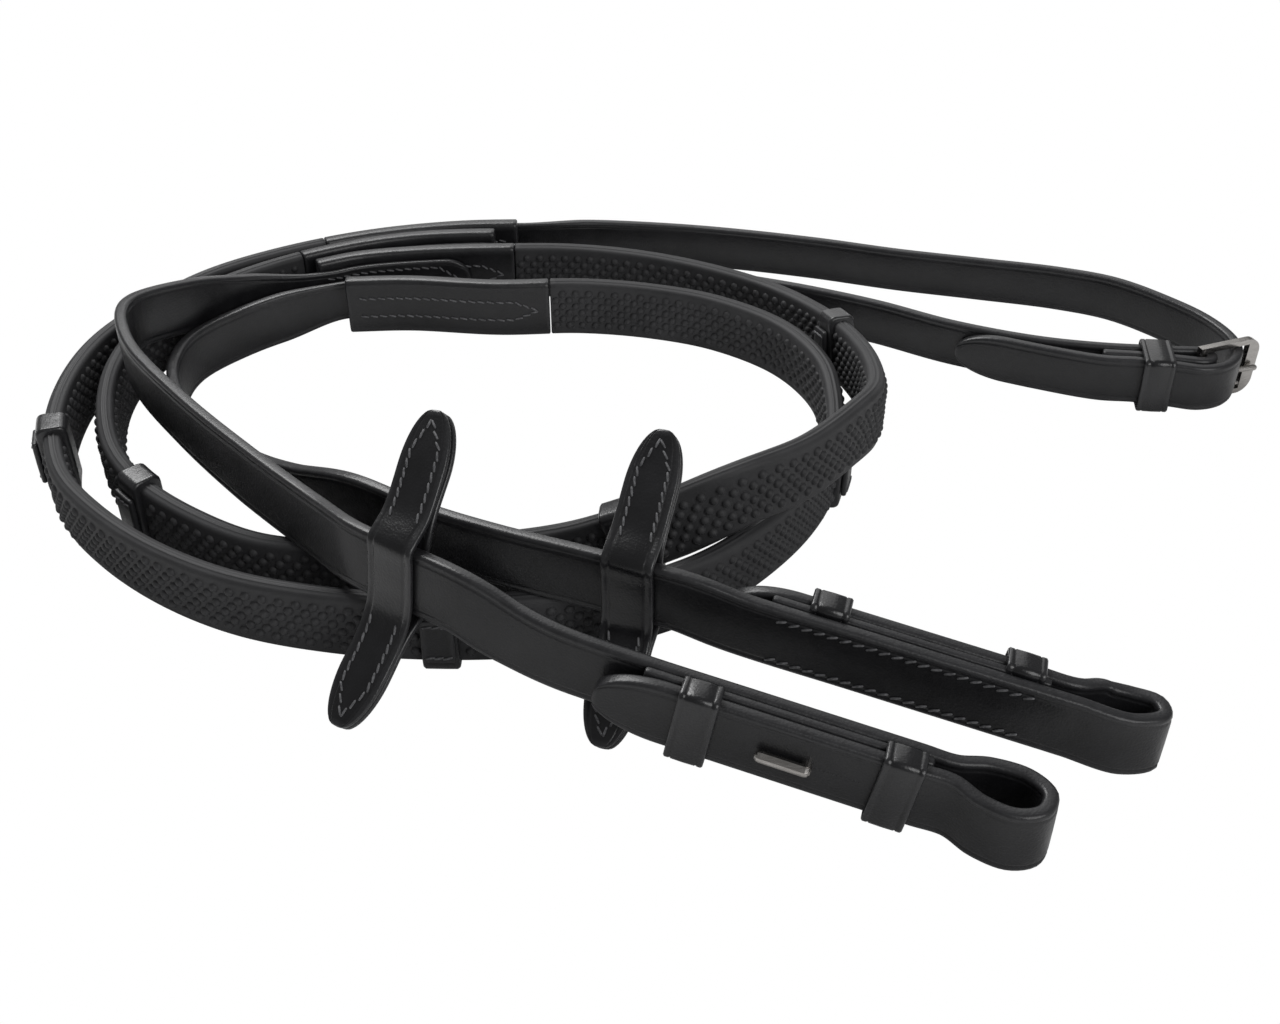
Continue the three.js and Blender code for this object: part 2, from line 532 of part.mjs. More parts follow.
const tongueAngle = frameAngle - Math.asin((BUCKLE_THICKNESS / 2 + TONGUE_RADIUS + 0.25) / (BUCKLE_LENGTH - BUCKLE_RIM));
const tongueWay = new THREE.Vector3(Math.cos(tongueAngle), Math.sin(tongueAngle), 0);
const tongueTip = barPlace.clone().addScaledVector(tongueWay, BUCKLE_LENGTH - 1.6);
const rightHandStrap = sweep(rightHand, 0, rightHand.length, handSection, {
  widthAt: (s) => lapWidthAt(s) * pointShare(rightHand.length - s, POINT_LENGTH),
  thicknessAt: lapThicknessAt,
  extra: [...handExtra, ...pointMarks(rightHand.length, -1, POINT_LENGTH)],
});
const tongueHole = rodBetween(barPlace.clone().addScaledVector(tongueWay, 9), tongueTip, TONGUE_RADIUS + 1.4);
add('right_hand_strap', cut(rightHandStrap, tongueHole), leather);

function buckleFrame() {
  const outline = new THREE.Shape();
  outline.moveTo(-BUCKLE_BAR_RADIUS, -BUCKLE_HALF);
  outline.lineTo(BUCKLE_LENGTH - BUCKLE_CORNER, -BUCKLE_HALF);
  outline.absarc(BUCKLE_LENGTH - BUCKLE_CORNER, -BUCKLE_HALF + BUCKLE_CORNER, BUCKLE_CORNER, -Math.PI / 2, 0);
  outline.absarc(BUCKLE_LENGTH - BUCKLE_CORNER, BUCKLE_HALF - BUCKLE_CORNER, BUCKLE_CORNER, 0, Math.PI / 2);
  outline.lineTo(-BUCKLE_BAR_RADIUS, BUCKLE_HALF);
  outline.closePath();
  const plate = new THREE.ExtrudeGeometry(outline, { depth: BUCKLE_THICKNESS, bevelEnabled: false, curveSegments: 6 });
  plate.translate(0, 0, -BUCKLE_THICKNESS / 2);
  const openHeight = 2 * (BUCKLE_HALF - BUCKLE_RAIL);
  const openEnd = BUCKLE_LENGTH - BUCKLE_RIM;
  const opening = new THREE.BoxGeometry(openEnd + 10, openHeight, BUCKLE_THICKNESS * 3);
  opening.translate(openEnd / 2 - 5, 0, 0);
  const bar = rodBetween(
    new THREE.Vector3(0, -BUCKLE_HALF + 0.6, 0), new THREE.Vector3(0, BUCKLE_HALF - 0.6, 0), BUCKLE_BAR_RADIUS);
  const frame = join(cut(plate, opening), bar);
  const upright = new THREE.Matrix4().makeBasis(
    frameWay, new THREE.Vector3(0, 0, 1), new THREE.Vector3().crossVectors(frameWay, new THREE.Vector3(0, 0, 1)));
  frame.applyMatrix4(upright.setPosition(barPlace));
  return frame;
}

function buckleTongue() {
  const half = new THREE.Vector3(0, 0, TONGUE_HUB_HEIGHT / 2);
  const hub = rodBetween(barPlace.clone().sub(half), barPlace.clone().add(half), TONGUE_HUB_RADIUS);
  const bore = rodBetween(
    barPlace.clone().addScaledVector(half, -2), barPlace.clone().addScaledVector(half, 2), BUCKLE_BAR_RADIUS + 0.3);
  const prong = rodBetween(barPlace.clone().addScaledVector(tongueWay, 2.9), tongueTip, TONGUE_RADIUS, true);
  return cut(join(hub, prong), bore);
}

function buckleKeeper() {
  const s = leftHand.nearest(166.5, 67.2);
  const half = KEEPER_LENGTH / 2;
  const near = -(9.7 + HAND_THICKNESS / 2 + 0.35);
  const far = HAND_THICKNESS / 2 + 0.35;
  const inner = HAND_WIDTH / 2 + 0.35;
  const wall = KEEPER_THICKNESS - 0.2;
  const block = frameBox(leftHand, s, [-half, half], [near - wall, far + wall], [-inner - wall, inner + wall]);
  const room = frameBox(leftHand, s, [-half - 1, half + 1], [near, far], [-inner, inner]);
  return cut(block, room);
}

add('buckle_frame', buckleFrame(), steel);
add('buckle_tongue', buckleTongue(), steel);
add('buckle_keeper', buckleKeeper(), leather);

// ---- Origin at the middle of the footprint, on the ground ----
const bounds = new THREE.Box3().setFromObject(reins);
const middle = bounds.getCenter(new THREE.Vector3());
reins.position.set(-middle.x, -middle.y, -bounds.min.z);

export default reins;
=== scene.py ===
import json
import math
import random

import bpy
import numpy as np
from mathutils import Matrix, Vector


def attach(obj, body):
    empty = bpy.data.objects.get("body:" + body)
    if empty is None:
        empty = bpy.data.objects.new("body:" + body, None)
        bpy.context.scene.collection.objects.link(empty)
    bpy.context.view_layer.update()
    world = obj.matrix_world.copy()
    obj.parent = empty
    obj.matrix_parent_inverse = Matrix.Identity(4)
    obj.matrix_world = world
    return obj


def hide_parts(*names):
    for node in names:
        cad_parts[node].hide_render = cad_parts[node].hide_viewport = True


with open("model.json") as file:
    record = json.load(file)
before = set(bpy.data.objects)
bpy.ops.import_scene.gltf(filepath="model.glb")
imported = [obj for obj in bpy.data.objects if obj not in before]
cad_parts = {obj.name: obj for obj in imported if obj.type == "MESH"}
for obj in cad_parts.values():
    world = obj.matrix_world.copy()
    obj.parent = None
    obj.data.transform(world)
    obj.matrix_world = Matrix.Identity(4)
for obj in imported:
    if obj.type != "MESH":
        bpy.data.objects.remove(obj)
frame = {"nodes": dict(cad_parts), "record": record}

random.seed(7)
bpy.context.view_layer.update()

# ---- Sizes, the same as the CAD's ----
BIT_WIDTH, BIT_THICKNESS = 18, 3.6
HAND_WIDTH, HAND_THICKNESS = 16, 3.4
GRIP_WIDTH, GRIP_THICKNESS, GRIP_LENGTH = 20, 5.2, 597
CHAPE_LENGTH, LAP_LENGTH, LAP_SKIVE, LAP_WIDTH = 70, 54, 0.6, 14
LINING_THICKNESS, LINING_START, LINING_LENGTH = 2, 10, 68
POINT_LENGTH = 17
KEEPER_LENGTH, KEEPER_THICKNESS, KEEPER_PLACES = 9.5, 1.4, [24, 71.5]
STUD_PLACE, SLIT_LENGTH = 51, 13
STOP_WIDTH, STOP_PLY, STOP_TAB, STOP_POINT = 13.5, 1.6, 31, 15
BAND_LENGTH, BAND_THICKNESS, BAND_GAP = 9.5, 1.4, 0.4
TAB_LENGTH, TAB_HEIGHT, TAB_THICKNESS = 8.5, 14, 1.6
BUCKLE_RAIL, BUCKLE_BAR_RADIUS = 1.8, 1.25
GAP, FLOOR_RISE = 0.3, 0.05

BIT_LOW = BIT_WIDTH / 2
HAND_LOW = HAND_WIDTH / 2 + FLOOR_RISE
GRIP_LOW = GRIP_WIDTH / 2 + BAND_GAP + BAND_THICKNESS + FLOOR_RISE
OVER_GRIP = GRIP_LOW + GRIP_WIDTH / 2 + GAP
BIT_HIGH = OVER_GRIP + BIT_WIDTH / 2
STOP_HIGH = BIT_HIGH + 3.4
GRIP_HIGH = OVER_GRIP + GRIP_WIDTH / 2 + 0.9
HAND_HIGH = HAND_WIDTH / 2 + GAP + BUCKLE_RAIL + FLOOR_RISE
BILLET_PITCH = BIT_THICKNESS + LINING_THICKNESS + 2 * GAP

# The CAD puts the coil's footprint at the origin; its routes are drawn before that move.
BAR_PLACE = Vector((180.2, 62.9, HAND_HIGH))
JOINTS = frame["record"]["behaviour"]["joints"]
bar_joint = next(j for j in JOINTS if j["name"] == "buckle_frame_swing")
SHIFT = Vector(bar_joint["pos_m"]) * 1000 - BAR_PLACE

# ---- Looks ----
STEP = 1.5                        # spacing of a strap's cross sections
CREASE_IN, CREASE_DEPTH = 1.9, 0.28
STITCH_LENGTH, STITCH_PITCH, STITCH_RADIUS = 2.5, 3.1, 0.3
PIMPLE_RADIUS, PIMPLE_HEIGHT, PIMPLE_PITCH = 1.4, 1.1, 4.6
PIMPLE_ROWS = [(-5.6, -0.8, 4.0), (-3.2, 1.6, 6.4)]  # heights on the grip, in columns taken in turn
PIMPLE_DROP = 0.4                 # the rows lie a little below the middle
PIMPLE_SINK = 0.08                # a dome's foot is let into the rubber
PIMPLE_INSET = 2                  # from each end of the rubber
PIMPLE_CLEARANCE = 1.2            # from a hand stop's band
SLEEVE_STITCH_UP = 3.4            # stitch rows, from the middle of the strap
BILLET_STITCH_UP = 6.3
LAP_STITCH_UP = 4.6
STOP_STITCH_UP = 3.9
SLIT_LINE_RADIUS = 0.32
RING_ROOM = 0.35                  # between a leather ring and what it holds
EDGE_ROUNDING = 0.00045           # bevel on the steel, in metres


# ---- Routes ----
class Route:
    """A smooth line with its width direction (up) and thickness direction (side)."""

    def __init__(self, places, up_at, samples=24):
        dense, shares = [], []
        for i in range(len(places) - 1):
            for k in range(samples):
                dense.append(spline_point(places, i, k / samples))
                shares.append(i + k / samples)
        dense.append(np.array(places[-1], float))
        shares.append(len(places) - 1.0)
        self.place = np.array(dense)
        steps = np.linalg.norm(np.diff(self.place, axis=0), axis=1)
        self.s = np.concatenate([[0], np.cumsum(steps)])
        self.length = float(self.s[-1])
        along = np.gradient(self.place, self.s, axis=0)
        self.along = along / np.linalg.norm(along, axis=1)[:, None]
        ups = np.array([up_at(t, a) for t, a in zip(shares, self.along)])
        ups -= (ups * self.along).sum(1)[:, None] * self.along
        self.up = ups / np.linalg.norm(ups, axis=1)[:, None]
        self.side = np.cross(self.up, self.along)

    def at(self, s):
        def mix(table):
            return np.array([np.interp(s, self.s, table[:, k]) for k in range(3)])
        return mix(self.place), mix(self.along), mix(self.side), mix(self.up)

    def point(self, s, side, up):
        place, _, side_way, up_way = self.at(s)
        return place + side_way * side + up_way * up

    def nearest(self, x, y):
        return float(self.s[np.argmin(np.hypot(self.place[:, 0] - x, self.place[:, 1] - y))])


def spline_point(places, i, t):
    """Centripetal Catmull-Rom through the places, as the CAD's routes."""
    pts = [np.array(p, float) for p in places]
    before = pts[i - 1] if i > 0 else 2 * pts[0] - pts[1]
    after = pts[i + 2] if i + 2 < len(pts) else 2 * pts[-1] - pts[-2]
    a, b = pts[i], pts[i + 1]
    d0, d1, d2 = [max(np.linalg.norm(v), 1e-4) ** 0.5 for v in (a - before, b - a, after - b)]
    m1 = ((a - before) / d0 - (b - before) / (d0 + d1) + (b - a) / d1) * d1
    m2 = ((b - a) / d1 - (after - a) / (d1 + d2) + (after - b) / d2) * d1
    return a + m1 * t + (3 * (b - a) - 2 * m1 - m2) * t ** 2 + (2 * (a - b) + m1 + m2) * t ** 3


def lay_route(points):
    """Control points are [x, y, height of the middle, lean in degrees to the left of travel]."""
    leans = [math.radians(p[3]) if len(p) > 3 else 0.0 for p in points]

    def up_at(t, along):
        lean = float(np.interp(t, range(len(leans)), leans))
        left = np.array([-along[1], along[0], 0.0])
        left /= np.linalg.norm(left)
        return np.array([0, 0, math.cos(lean)]) + left * math.sin(lean)
    return Route([p[:3] for p in points], up_at)


def blend_points(heel, toe, shares):
    return [[a + (b - a) * share for a, b in zip(heel, toe)] for share in shares]


def shift_points(points, heel, toe, distance):
    length = math.hypot(toe[0] - heel[0], toe[1] - heel[1])
    dx = -(toe[1] - heel[1]) / length * distance
    dy = (toe[0] - heel[0]) / length * distance
    return [[x + dx, y + dy, z] for x, y, z in points]


def lap_points(grip, places, side):
    off = GRIP_THICKNESS / 2 + GAP + 0.25 + BIT_THICKNESS * LAP_SKIVE / 2
    return [list(grip.point(s, side * off, 0)) for s in places]


def fold_point(degrees):
    radius = BUCKLE_BAR_RADIUS + GAP + 0.1 + HAND_THICKNESS / 2
    angle = math.radians(degrees)
    return [BAR_PLACE.x + radius * math.cos(angle), BAR_PLACE.y + radius * math.sin(angle), HAND_HIGH]


GL, BL, BH, SH, GH, HL, HH = GRIP_LOW, BIT_LOW, BIT_HIGH, STOP_HIGH, GRIP_HIGH, HAND_LOW, HAND_HIGH
GRIP_END = 2 * (CHAPE_LENGTH + GAP) + GRIP_LENGTH
BILLET_SHARES = [1, 0.6, 0.25, 0.1, 0]
LAP_PLACES = [4, 12, 20, 28, 36, 45, LAP_LENGTH]
HAND_LAP_PLACES = [GRIP_END - LAP_LENGTH + d for d in (0, 9, 18, 26, 34, 42, 50)]

left_heel, left_toe = [71, -115, 10.4], [-9, -93, 24.8]
left_grip = lay_route([
    [-113, 119, GL], [-100, 125, GL], [-80, 129, GL], [-53, 131, GL],
    [-25, 131, GL], [0, 126, GL], [24, 116, GL], [45, 102, 12], [58, 84, 14],
    [66, 59, 19], [69, 35, 24], [67, 12, 29], [59, -5, GH], [44, -22, GH],
    [26, -34, GH], [5, -36, 23], [-14, -35, 15], [-33, -36, GL],
    [-60, -39, GL], [-84, -40, GL], [-102, -37, GL], [-122, -26, GL],
    [-140, -11, GL], [-152, 5, GL], [-161, 28, GL], [-165, 52, GL],
    [-163, 72, GL], [-154, 93, GL], [-136, 113, GL], [-111, 130, GL],
    [-84, 140, GL], [-53, 143, GL], [-20, 141, GL],
])
left_bit = lay_route([
    *shift_points(blend_points(left_heel, left_toe, BILLET_SHARES), left_heel, left_toe, BILLET_PITCH),
    [75, -126, 9.4], [82, -129.5, BL], [88, -128.5, BL], [90.5, -123.5, BL],
    [87, -118, BL], [79, -115, 9.5],
    *blend_points(left_heel, left_toe, [0, 0.1, 0.25, 0.55, 0.87]),
    [-20, -89.5, 27, -3], [-32, -84, 30, -7], [-43, -79, SH, -8], [-57, -69.5, SH, -8],
    [-71, -60, SH, -8], [-83, -46, BH + 0.8, -8], [-107, -21, BH, -8],
    [-130, 5, BH, -4], [-151, 33, BH], [-159, 52, BH], [-159, 62, BH - 1],
    [-149, 83, 24], [-136, 102, 16],
    *lap_points(left_grip, LAP_PLACES, -1),
])
right_heel, right_toe = [101, -98.5, 12.8], [20, -77, 27.6]
right_grip = lay_route([
    [-101, 106, GL], [-80, 107, GL], [-49, 104, GL], [-20, 105, GL],
    [5, 101, GL], [26, 93, GL], [46, 77, GL], [57, 56, GL],
    [59, 34, GL], [56, 10, GL], [47, -11, GL], [32, -31, GL],
    [14, -47, GL], [-9, -57.5, GL], [-32, -61.5, GL], [-56, -62, GL],
    [-80, -59.5, GL], [-105, -53, GL], [-128, -41, GL], [-149, -24, GL],
    [-164, -6, GL], [-174, 20, GL], [-177, 47, GL], [-174, 69, GL],
    [-164, 91, GL], [-149, 112, GL], [-127, 128.5, GL], [-98, 142, GL],
    [-68, 149, GL], [-42, 150.5, GL], [-20, 150.5, GL],
])
right_bit = lay_route([
    *shift_points(blend_points(right_heel, right_toe, BILLET_SHARES), right_heel, right_toe, -BILLET_PITCH),
    [110, -90.5, 10], [117, -91.5, BL], [122.5, -94.5, BL], [122.5, -99, BL],
    [114, -101.5, 10],
    *blend_points(right_heel, right_toe, [0, 0.1, 0.25, 0.6, 0.95]),
    [9.5, -74.6, BH], [-2, -70, BH], [-14, -65.2, BH], [-35, -57, BH],
    [-54, -48, BH], [-74, -35.5, BH], [-92, -22, 24.5], [-107, -9, 20], [-122, 9, 16],
    [-134, 26, 13], [-144, 43, 10], [-149, 60, BL], [-147, 76, BL], [-134, 93, BL],
    [-118, 104, 10], [-106, 109.5, 11],
    *lap_points(right_grip, LAP_PLACES, 1),
])
left_hand = lay_route([
    *lap_points(left_grip, HAND_LAP_PLACES, -1),
    [-30, 137.5, 11], [-10, 135, 10], [10, 130, 8.5], [30, 122, HL], [57, 112, HL],
    [81, 101, HL], [105, 87, HL], [130, 76, 8.6], [149, 70.7, 9.2], [165, 67.5, 10],
    [174, 66.5, HH],
    fold_point(97), fold_point(50), fold_point(0), fold_point(-50), fold_point(-97),
    [174, 60.7, HH], [165, 63, 10], [150, 66.3, 9.2],
])
right_hand = lay_route([
    *lap_points(right_grip, HAND_LAP_PLACES, 1),
    [-30, 156.5, 11], [-14, 158.5, 10], [15, 158.5, 8.4], [37, 155, HL], [65, 148, HL],
    [94, 139, HL], [122, 132, HL], [149, 123, 9], [166, 113, HH],
    [181, 98.5, HH], [189, 87.5, HH], [193, 77, HH], [193.5, 69, HH],
    [191, 62, HH], [186, 57, HH], [179, 55, HH], [171, 57, HH],
    [160, 60, 10], [149, 62.6, 9.2], [130, 70.6, 8.6], [106, 82.5, HL],
])


# ---- Materials ----
def new_material(name, roughness, metallic=0.0):
    material = bpy.data.materials.new(name)
    material.use_nodes = True
    shader = material.node_tree.nodes["Principled BSDF"]
    shader.inputs["Roughness"].default_value = roughness
    shader.inputs["Metallic"].default_value = metallic
    return material, material.node_tree, shader


def add_node(tree, kind, inputs=None, **settings):
    node = tree.nodes.new(kind)
    for key, value in settings.items():
        setattr(node, key, value)
    for key, value in (inputs or {}).items():
        node.inputs[key].default_value = value
    return node


def object_noise(tree, scale, detail=6, roughness=0.55, stretch=(1, 1, 1)):
    place = add_node(tree, "ShaderNodeTexCoord")
    mapping = add_node(tree, "ShaderNodeMapping", {"Scale": stretch})
    noise = add_node(tree, "ShaderNodeTexNoise", {"Scale": scale, "Detail": detail, "Roughness": roughness})
    tree.links.new(place.outputs["Object"], mapping.inputs["Vector"])
    tree.links.new(mapping.outputs["Vector"], noise.inputs["Vector"])
    return noise


def ramp(tree, source, stops):
    node = add_node(tree, "ShaderNodeValToRGB")
    node.color_ramp.elements[0].position, node.color_ramp.elements[0].color = stops[0]
    node.color_ramp.elements[1].position, node.color_ramp.elements[1].color = stops[1]
    tree.links.new(source, node.inputs["Fac"])
    return node


def bump(tree, shader, height, distance, strength, below=None):
    node = add_node(tree, "ShaderNodeBump", {"Distance": distance, "Strength": strength})
    tree.links.new(height, node.inputs["Height"])
    if below:
        tree.links.new(below.outputs["Normal"], node.inputs["Normal"])
    tree.links.new(node.outputs["Normal"], shader.inputs["Normal"])
    return node


def leather_material(name, dark, pale, low, high, coat):
    """Dyed bridle leather: fine pores, soft mottling, and a painted highlight on edges and creases, broken
    into patches by noise.
    """
    material, tree, shader = new_material(name, low)
    mottle = object_noise(tree, 90, 8)
    tone = ramp(tree, mottle.outputs["Fac"], [(0.3, dark), (0.75, pale)])
    # Painted highlight: edges and creases, weighted by the edge attribute, are mixed towards a paler colour
    # in noisy patches.
    edge = add_node(tree, "ShaderNodeAttribute", attribute_name="edge")
    highlight_patch_noise = object_noise(tree, 420, 5, 0.7)
    edge_highlight_mask = add_node(tree, "ShaderNodeMath", operation="MULTIPLY")
    tree.links.new(edge.outputs["Fac"], edge_highlight_mask.inputs[0])
    tree.links.new(highlight_patch_noise.outputs["Fac"], edge_highlight_mask.inputs[1])
    mix = add_node(tree, "ShaderNodeMix", data_type="RGBA")
    # Colour of the painted edge highlight.
    mix.inputs["B"].default_value = (0.04, 0.04, 0.043, 1)
    tree.links.new(edge_highlight_mask.outputs["Value"], mix.inputs["Factor"])
    tree.links.new(tone.outputs["Color"], mix.inputs["A"])
    tree.links.new(mix.outputs["Result"], shader.inputs["Base Color"])
    gloss = add_node(tree, "ShaderNodeMapRange", {"To Min": low, "To Max": high})
    tree.links.new(mottle.outputs["Fac"], gloss.inputs["Value"])
    tree.links.new(gloss.outputs["Result"], shader.inputs["Roughness"])
    shader.inputs["Coat Weight"].default_value = coat
    shader.inputs["Specular IOR Level"].default_value = 0.38
    shader.inputs["Coat Roughness"].default_value = 0.25
    pores = add_node(tree, "ShaderNodeTexVoronoi", {"Scale": 1500.0})
    place = add_node(tree, "ShaderNodeTexCoord")
    tree.links.new(place.outputs["Object"], pores.inputs["Vector"])
    grain = bump(tree, shader, pores.outputs["Distance"], 0.00012, 0.45)
    wrinkle = object_noise(tree, 260, 6, 0.65)
    bump(tree, shader, wrinkle.outputs["Fac"], 0.0004, 0.35, grain)
    return material


def rubber_material():
    material, tree, shader = new_material("pimpled_rubber", 0.62)
    dust = object_noise(tree, 60, 8, 0.6)
    stops = [(0.3, (0.028, 0.028, 0.03, 1)), (0.8, (0.055, 0.055, 0.058, 1))]
    tone = ramp(tree, dust.outputs["Fac"], stops)
    tree.links.new(tone.outputs["Color"], shader.inputs["Base Color"])
    gloss = add_node(tree, "ShaderNodeMapRange", {"To Min": 0.5, "To Max": 0.72})
    tree.links.new(dust.outputs["Fac"], gloss.inputs["Value"])
    tree.links.new(gloss.outputs["Result"], shader.inputs["Roughness"])
    fine = object_noise(tree, 1800, 4, 0.7)
    bump(tree, shader, fine.outputs["Fac"], 0.0001, 0.5)
    return material


def thread_material():
    material, tree, shader = new_material("waxed_thread", 0.55)
    twist = object_noise(tree, 1200, 3, 0.6)
    tone = ramp(tree, twist.outputs["Fac"], [(0.35, (0.08, 0.08, 0.085, 1)), (0.7, (0.22, 0.22, 0.23, 1))])
    tree.links.new(tone.outputs["Color"], shader.inputs["Base Color"])
    bump(tree, shader, twist.outputs["Fac"], 0.0001, 0.6)
    return material


def steel_material():
    material, tree, shader = new_material("stainless_steel", 0.22, 1.0)
    brush = object_noise(tree, 300, 6, 0.6, (1, 1, 9))
    tone = ramp(tree, brush.outputs["Fac"], [(0.3, (0.42, 0.40, 0.38, 1)), (0.7, (0.58, 0.56, 0.54, 1))])
    tree.links.new(tone.outputs["Color"], shader.inputs["Base Color"])
    gloss = add_node(tree, "ShaderNodeMapRange", {"To Min": 0.16, "To Max": 0.34})
    tree.links.new(brush.outputs["Fac"], gloss.inputs["Value"])
    tree.links.new(gloss.outputs["Result"], shader.inputs["Roughness"])
    bump(tree, shader, brush.outputs["Fac"], 0.00005, 0.3)
    return material


LEATHER = leather_material(
    "bridle_leather", (0.006, 0.006, 0.007, 1), (0.017, 0.017, 0.019, 1), 0.3, 0.5, 0.3)
SHINY = leather_material(
    "polished_leather", (0.005, 0.005, 0.006, 1), (0.013, 0.013, 0.015, 1), 0.2, 0.4, 0.6)
RUBBER = rubber_material()
THREAD = thread_material()
STEEL = steel_material()


# ---- Mesh making ----
def make_piece(name, verts, faces, material, body, nodes=(), edge=None, slot="leather"):
    mesh = bpy.data.meshes.new(name)
    places = (np.array(verts, float) + np.array(SHIFT)) * 0.001
    mesh.from_pydata([tuple(v) for v in places], [], faces)
    mesh.validate()
    mesh.polygons.foreach_set("use_smooth", [True] * len(mesh.polygons))
    if edge is not None:
        # The edge weights place the painted highlight on leather edges, creases and strap ends.
        attribute = mesh.attributes.new("edge", "FLOAT", "POINT")
        attribute.data.foreach_set("value", np.array(edge, float))
    mesh.materials.append(material)
    piece = bpy.data.objects.new(name, mesh)
    bpy.context.collection.objects.link(piece)
    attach(piece, body)
    if nodes:
        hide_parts(*nodes)
    return piece


def corner(cx, cy, radius, start, count=4):
    """Points on a quarter round, each marked as edge."""
    angles = [math.radians(start + 90 * k / count) for k in range(count + 1)]
    return [(cx + radius * math.cos(a), cy + radius * math.sin(a), 1.0) for a in angles]


def strap_profile(thickness, width, radius=1.1, crease=True):
    """Closed outline (side, up, edge) of a strap with a crease along each edge of both faces."""
    x, y = thickness / 2, width / 2
    radius = min(radius, x * 0.85)
    inner = y - CREASE_IN
    face = [(x + 0.06, -inner + 0.9, 0.0), (x + 0.1, 0, 0.0), (x + 0.06, inner - 0.9, 0.0)]
    if crease:
        # Crease points carry part of the painted edge highlight.
        low = [(x, -inner - 0.4, 0.4), (x - CREASE_DEPTH, -inner, 0.5), (x, -inner + 0.4, 0.3)]
        high = [(x, inner - 0.4, 0.3), (x - CREASE_DEPTH, inner, 0.5), (x, inner + 0.4, 0.4)]
        face = low + face + high
    right = corner(x - radius, -y + radius, radius, -90) + face + corner(x - radius, y - radius, radius, 0)
    return right + [(-px, -py, e) for px, py, e in right]


def grip_profile():
    """Rubber section with two low seams along its top edge."""
    x, y, r = GRIP_THICKNESS / 2, GRIP_WIDTH / 2, 1.6
    side = corner(x - r, -y + r, r, -90) + [(x, 0, 0.0)] + corner(x - r, y - r, r, 0)
    seams = [(0.95, y + 0.05, 0), (0.65, y + 0.35, 0), (0.3, y + 0.05, 0)]
    seams += [(-0.3, y + 0.05, 0), (-0.65, y + 0.35, 0), (-0.95, y + 0.05, 0)]
    return side + seams + [(-px, py, e) for px, py, e in reversed(side)]


def sweep(route, start, end, profile, width_at=None, thick_at=None, side=0.0, step=STEP, round_ends=0.5):
    """Rings of a profile along a route, closed with rounded ends. Returns verts, faces, edge."""
    count = max(4, int((end - start) / step))
    marks = list(np.linspace(start, end, count + 1))
    marks[1:1] = [start + 0.12, start + round_ends]
    marks[-1:-1] = [end - round_ends, end - 0.12]
    marks = sorted(marks)
    size = len(profile)
    verts, edge = [], []
    for s in marks:
        near = min(s - start, end - s)
        tuck = round_ends - min(near, round_ends)
        place, _, side_way, up_way = route.at(s)
        wide = width_at(s) if width_at else 1.0
        thick = thick_at(s) if thick_at else 1.0
        tuck_in = round_ends - math.sqrt(max(round_ends ** 2 - tuck ** 2, 0.0))
        for px, py, e in profile:
            x = (abs(px) - min(tuck_in, abs(px) * 0.6)) * math.copysign(1, px) * thick + side
            y = (abs(py) - min(tuck_in, abs(py) * 0.6)) * math.copysign(1, py) * wide
            verts.append(place + side_way * x + up_way * y)
            # Points within 1 mm of a strap end take the full painted edge highlight.
            edge.append(max(e, 1.0 if near < 1.0 else 0.0))
    faces = []
    for i in range(len(marks) - 1):
        for k in range(size):
            n = (k + 1) % size
            faces.append((i * size + k, i * size + n, (i + 1) * size + n, (i + 1) * size + k))
    faces.append(tuple(range(size - 1, -1, -1)))
    last = (len(marks) - 1) * size
    faces.append(tuple(range(last, last + size)))
    return verts, faces, edge


def joined(parts):
    """One verts, faces, edge list from several."""
    verts, faces, edge = [], [], []
    for v, f, e in parts:
        faces += [tuple(i + len(verts) for i in face) for face in f]
        verts += list(v)
        edge += list(e)
    return verts, faces, edge


def point_share(distance, length, blunt=0.1):
    if distance >= length:
        return 1.0
    t = max(distance, 0.0) / length
    return blunt + (1 - blunt) * math.sqrt(1 - (1 - t) ** 2)


def smoothstep(x, low, high):
    t = min(max((x - low) / (high - low), 0.0), 1.0)
    return t * t * (3 - 2 * t)


def lap_share(distance, small):
    return small + (1 - small) * smoothstep(distance, LAP_LENGTH + 2, LAP_LENGTH + 26)


def rod(a, b, radius, sides=7):
    """A thread-like rod between two points with rounded ends."""
    a, b = Vector(a), Vector(b)
    way = (b - a).normalized()
    across = way.orthogonal().normalized()
    other = way.cross(across)
    shoulder = way * radius * 0.7
    rings = [(a, 0.35), (a + shoulder, 0.95), (a.lerp(b, 0.5), 1.12), (b - shoulder, 0.95), (b, 0.35)]
    verts, faces = [], []
    for centre, share in rings:
        for k in range(sides):
            angle = 2 * math.pi * k / sides
            verts.append(centre + (across * math.cos(angle) + other * math.sin(angle)) * radius * share)
    for i in range(len(rings) - 1):
        for k in range(sides):
            n = (k + 1) % sides
            faces.append((i * sides + k, i * sides + n, (i + 1) * sides + n, (i + 1) * sides + k))
    faces.append(tuple(range(sides - 1, -1, -1)))
    faces.append(tuple(range((len(rings) - 1) * sides, len(rings) * sides)))
    return verts, faces, [0.0] * len(verts)


